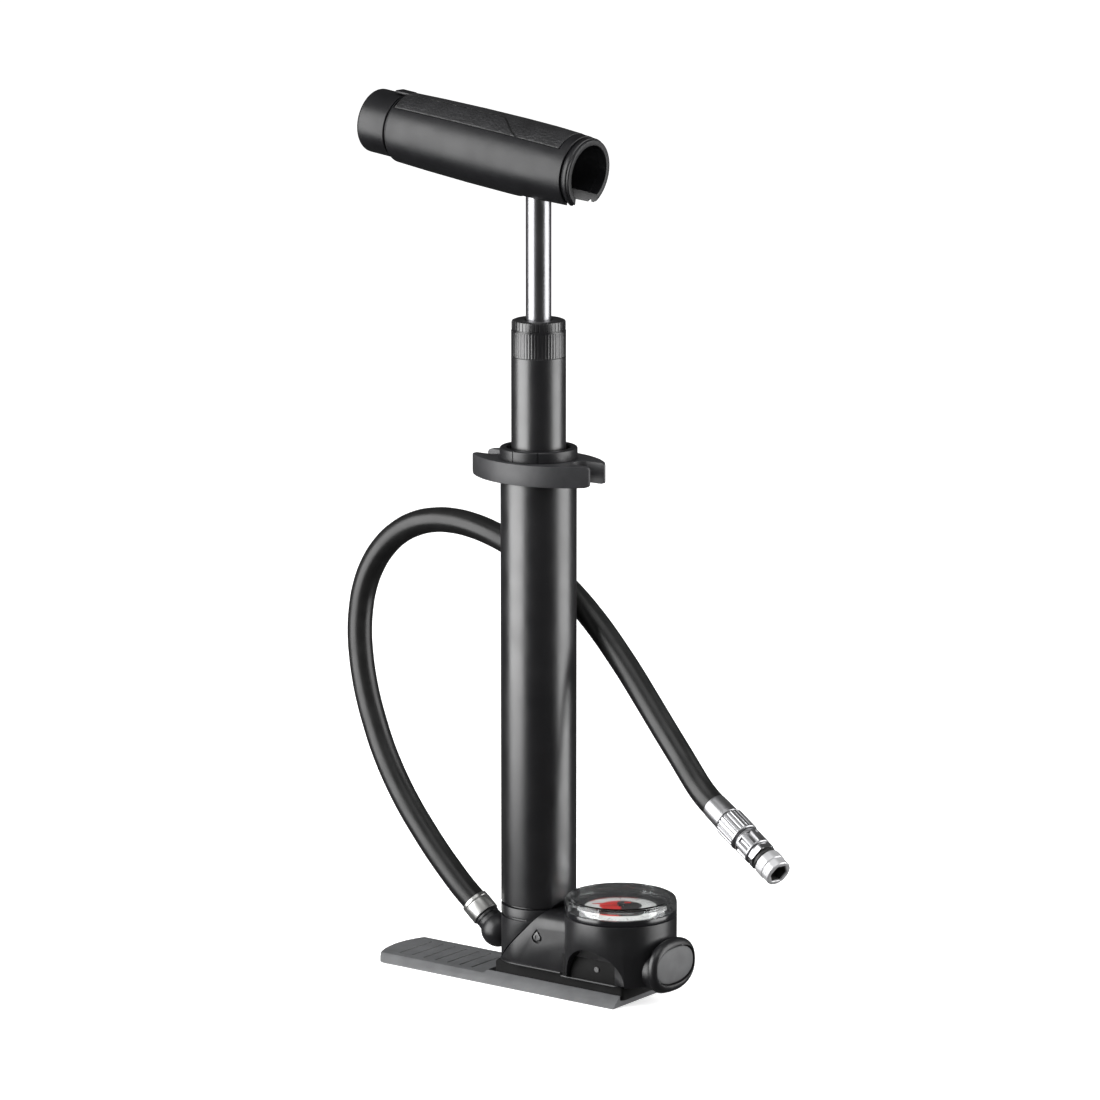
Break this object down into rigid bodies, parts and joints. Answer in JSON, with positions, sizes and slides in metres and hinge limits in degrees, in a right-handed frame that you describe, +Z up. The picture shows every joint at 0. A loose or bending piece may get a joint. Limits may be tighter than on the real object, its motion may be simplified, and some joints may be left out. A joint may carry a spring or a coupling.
{
  "type": "mini pump",
  "caption": "Two-stage mini bicycle pump with a folding T grip, swivelling foot, round gauge with bleed button, and a swing hose with a screw-on valve head.",
  "frame": {"origin": "on the floor, on the barrel's axis", "axes": "+Z up along the barrel, +X from the barrel to the gauge and along the foot, Y across the foot"},
  "size_m": [0.2241, 0.0494, 0.3522],
  "materials": {
    "plate_grey": "fine matt grain",
    "black_plastic": "satin moulding",
    "grip_plastic": "satin moulding",
    "soft_pad": "soft touch with a fine pebble grain",
    "black_anodised": "black anodised, satin",
    "collar_grey": "satin moulding",
    "hose_rubber": "smooth satin",
    "seal_rubber": "smooth",
    "chrome_rod": "polished chrome plate",
    "bright_metal": "turned and polished",
    "ferrule_metal": "satin crimped sleeve",
    "steel": "zinc plated",
    "brass": "turned",
    "bush_plastic": "natural acetal",
    "clear_lens": "clear moulding",
    "dial_print": "printed dial",
    "needle_red": "gloss red"
  },
  "bodies": {
    "foot": {"foot_plate": "plate_grey", "plate_screws": "steel", "base_housing": "black_plastic", "cross_pin": "black_anodised", "lock_screw": "black_anodised", "swivel_seal": "seal_rubber", "swivel_washer": "steel", "gauge_movement": "brass", "gauge_dial": "dial_print", "gauge_seal": "seal_rubber", "gauge_lens": "clear_lens", "bleed_bezel": "black_plastic", "bleed_spring": "steel"},
    "needle": {"gauge_needle": "needle_red"},
    "button": {"bleed_button": "collar_grey"},
    "barrel_unit": {"barrel_socket": "black_plastic", "swivel_bolt": "steel", "hose_bolt": "steel", "barrel": "black_anodised", "barrel_seal": "seal_rubber", "hose_collar": "collar_grey", "collar_nut": "black_plastic", "barrel_bush": "bush_plastic", "valve_seat": "brass", "valve_spring": "steel"},
    "valve": {"valve_disc": "seal_rubber"},
    "inner_stage": {"inner_tube": "black_anodised", "inner_cap": "black_anodised", "rod_bush": "bush_plastic", "inner_piston": "bush_plastic", "inner_piston_seal": "seal_rubber"},
    "rod_stage": {"rod": "chrome_rod", "rod_piston": "bush_plastic", "rod_piston_seal": "seal_rubber", "rod_eye": "steel"},
    "grip": {"grip_body": "grip_plastic", "grip_pad": "soft_pad", "grip_rim": "grip_plastic", "grip_end_cap": "grip_plastic", "grip_hub": "collar_grey", "grip_pin": "steel"},
    "hose_arm": {"hose_elbow": "black_plastic", "hose_ferrule": "ferrule_metal", "hose": "hose_rubber", "head_ferrule": "bright_metal"},
    "head": {"head_ring": "bright_metal", "head_body": "bright_metal", "head_oring": "seal_rubber", "head_tip": "bright_metal"}
  },
  "joints": [
    {"name": "foot_swivel", "type": "hinge", "parent": "foot", "child": "barrel_unit", "pos_m": [0, 0, 0.0208], "axis": [0.7071, 0, -0.7071], "range_deg": [0, 180]},
    {"name": "inner_tube_slide", "type": "slide", "parent": "barrel_unit", "child": "inner_stage", "axis": [0, 0, 1], "range_m": [-0.04, 0.1]},
    {"name": "rod_slide", "type": "slide", "parent": "inner_stage", "child": "rod_stage", "axis": [0, 0, 1], "range_m": [-0.044, 0.1]},
    {"name": "grip_fold", "type": "hinge", "parent": "rod_stage", "child": "grip", "pos_m": [0, 0, 0.3287], "axis": [0, 1, 0], "range_deg": [-7.6, 82.4]},
    {"name": "hose_swivel", "type": "hinge", "parent": "barrel_unit", "child": "hose_arm", "pos_m": [-0.0202, 0, 0.0174], "axis": [-1, 0, 0], "range_deg": [0, 60]},
    {"name": "head_turn", "type": "hinge", "parent": "hose_arm", "child": "head", "pos_m": [0.0792, 0.008, 0.0816], "axis": [0.8614, -0.2308, -0.4524], "continuous": true},
    {"name": "bleed_press", "type": "slide", "parent": "foot", "child": "button", "axis": [-1, 0, 0], "range_m": [0, 0.0015], "stiffness_N_per_m": 900, "springref_m": -0.002, "deforming": ["bleed_spring"]},
    {"name": "needle_turn", "type": "hinge", "parent": "foot", "child": "needle", "pos_m": [0.0402, 0, 0.035], "axis": [0, 0, -1], "range_deg": [0, 270], "stiffness_Nm_per_rad": 0.001},
    {"name": "valve_lift", "type": "slide", "parent": "barrel_unit", "child": "valve", "axis": [0, 0, -1], "range_m": [0, 0.001], "stiffness_N_per_m": 300, "springref_m": -0.001, "deforming": ["valve_spring"]}
  ]
}
